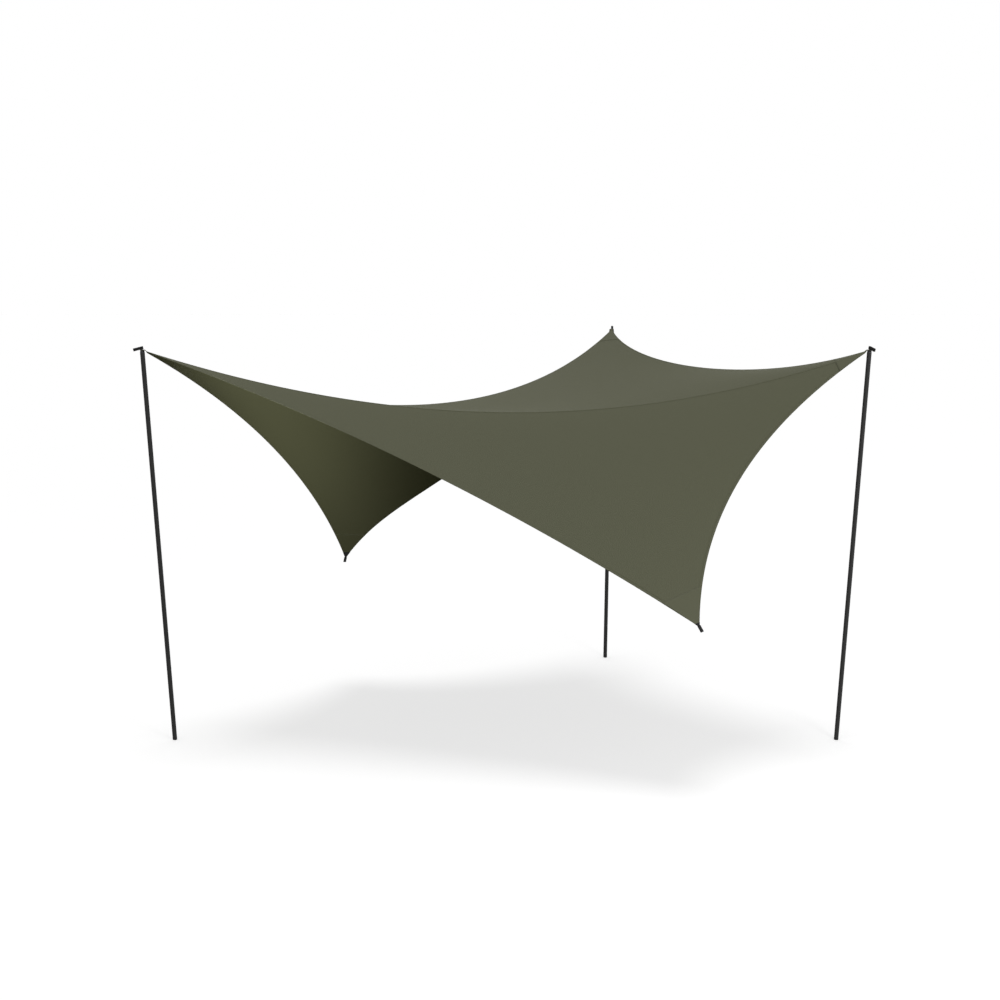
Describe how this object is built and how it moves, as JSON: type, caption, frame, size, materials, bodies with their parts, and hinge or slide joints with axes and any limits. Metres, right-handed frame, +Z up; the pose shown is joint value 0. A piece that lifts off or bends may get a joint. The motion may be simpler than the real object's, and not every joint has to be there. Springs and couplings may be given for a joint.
{
  "type": "camping tarp",
  "caption": "Sun and rain tarp pitched on upright poles, a saddle-shaped cloth canopy with folds, cut-in edges, low hanging corners and webbing loops for guy lines",
  "frame": {"origin": "middle of the plan, on the ground under the feet", "axes": "+Z up; +X from the left to the right front pole, along the long fold; +Y to the back pole"},
  "size_m": [4.1442, 2.474, 2.3219],
  "materials": {
    "canopy_cloth": "matt olive-grey woven polyester with a darker coated underside",
    "canopy_trim": "the same cloth doubled and stitched, a little darker",
    "loop_webbing": "black woven webbing",
    "pole_paint": "satin black powder coat",
    "ferrule_steel": "bare drawn steel",
    "eyelet_steel": "plated steel",
    "spike_steel": "blackened steel",
    "foot_rubber": "matt black rubber"
  },
  "bodies": {
    "canopy": {"front_wing": "canopy_cloth", "centre_panel": "canopy_cloth", "back_wing": "canopy_cloth", "front_fold_seam": "canopy_trim", "back_fold_seam": "canopy_trim", "front_edge_hem": "canopy_trim", "side_edge_hem": "canopy_trim", "back_edge_hem": "canopy_trim", "rear_edge_hem": "canopy_trim", "left_edge_hem": "canopy_trim", "corner_patch_left": "canopy_trim", "corner_patch_right": "canopy_trim", "corner_patch_back": "canopy_trim", "corner_patch_front_low": "canopy_trim", "corner_patch_rear_low": "canopy_trim", "eyelet_left": "eyelet_steel", "eyelet_right": "eyelet_steel", "eyelet_back": "eyelet_steel"},
    "upper_left": {"spike_left": "spike_steel", "upper_tube_left": "pole_paint"},
    "middle_left": {"middle_tube_left": "pole_paint", "upper_ferrule_left": "ferrule_steel"},
    "lower_left": {"lower_tube_left": "pole_paint", "lower_ferrule_left": "ferrule_steel", "foot_left": "foot_rubber"},
    "upper_right": {"spike_right": "spike_steel", "upper_tube_right": "pole_paint"},
    "middle_right": {"middle_tube_right": "pole_paint", "upper_ferrule_right": "ferrule_steel"},
    "lower_right": {"lower_tube_right": "pole_paint", "lower_ferrule_right": "ferrule_steel", "foot_right": "foot_rubber"},
    "upper_back": {"spike_back": "spike_steel", "upper_tube_back": "pole_paint"},
    "middle_back": {"middle_tube_back": "pole_paint", "upper_ferrule_back": "ferrule_steel"},
    "lower_back": {"lower_tube_back": "pole_paint", "lower_ferrule_back": "ferrule_steel", "foot_back": "foot_rubber"},
    "loop_left": {"guy_loop_left": "loop_webbing"},
    "loop_right": {"guy_loop_right": "loop_webbing"},
    "loop_back": {"guy_loop_back": "loop_webbing"},
    "loop_front_low": {"guy_loop_front_low": "loop_webbing"},
    "loop_rear_low": {"guy_loop_rear_low": "loop_webbing"}
  },
  "joints": [
    {"name": "pole_left_out_of_eyelet", "type": "slide", "parent": "canopy", "child": "upper_left", "axis": [-0.0348, 0, 0.9994], "range_m": [-0.03, 0]},
    {"name": "pole_left_upper_pull_apart", "type": "slide", "parent": "upper_left", "child": "middle_left", "axis": [-0.0348, 0, 0.9994], "range_m": [-0.07, 0]},
    {"name": "pole_left_lower_pull_apart", "type": "slide", "parent": "middle_left", "child": "lower_left", "axis": [-0.0348, 0, 0.9994], "range_m": [-0.07, 0]},
    {"name": "pole_right_out_of_eyelet", "type": "slide", "parent": "canopy", "child": "upper_right", "axis": [0.0348, 0, 0.9994], "range_m": [-0.03, 0]},
    {"name": "pole_right_upper_pull_apart", "type": "slide", "parent": "upper_right", "child": "middle_right", "axis": [0.0348, 0, 0.9994], "range_m": [-0.07, 0]},
    {"name": "pole_right_lower_pull_apart", "type": "slide", "parent": "middle_right", "child": "lower_right", "axis": [0.0348, 0, 0.9994], "range_m": [-0.07, 0]},
    {"name": "pole_back_out_of_eyelet", "type": "slide", "parent": "canopy", "child": "upper_back", "axis": [0.0057, 0, 1], "range_m": [-0.03, 0]},
    {"name": "pole_back_upper_pull_apart", "type": "slide", "parent": "upper_back", "child": "middle_back", "axis": [0.0057, 0, 1], "range_m": [-0.07, 0]},
    {"name": "pole_back_lower_pull_apart", "type": "slide", "parent": "middle_back", "child": "lower_back", "axis": [0.0057, 0, 1], "range_m": [-0.07, 0]},
    {"name": "loop_left_swivel", "type": "hinge", "parent": "canopy", "child": "loop_left", "pos_m": [-2.02166, -0.41326, 2.29861], "axis": [-0.0348, 0, 0.9994], "range_deg": [-90, 90]},
    {"name": "loop_right_swivel", "type": "hinge", "parent": "canopy", "child": "loop_right", "pos_m": [2.04834, -0.41326, 2.29861], "axis": [0.0348, 0, 0.9994], "range_deg": [-45, 90]},
    {"name": "loop_back_swivel", "type": "hinge", "parent": "canopy", "child": "loop_back", "pos_m": [0.73434, 1.18674, 2.29996], "axis": [0.0057, 0, 1], "range_deg": [-90, 75]},
    {"name": "loop_front_low_flap", "type": "hinge", "parent": "canopy", "child": "loop_front_low", "pos_m": [1.02034, -1.2149, 0.92953], "axis": [0.9029, 0.2879, 0.3192], "range_deg": [-80, 80]},
    {"name": "loop_rear_low_flap", "type": "hinge", "parent": "canopy", "child": "loop_rear_low", "pos_m": [-1.03565, 0.69103, 0.83926], "axis": [0.9372, 0.338, -0.0865], "range_deg": [-80, 80]}
  ]
}
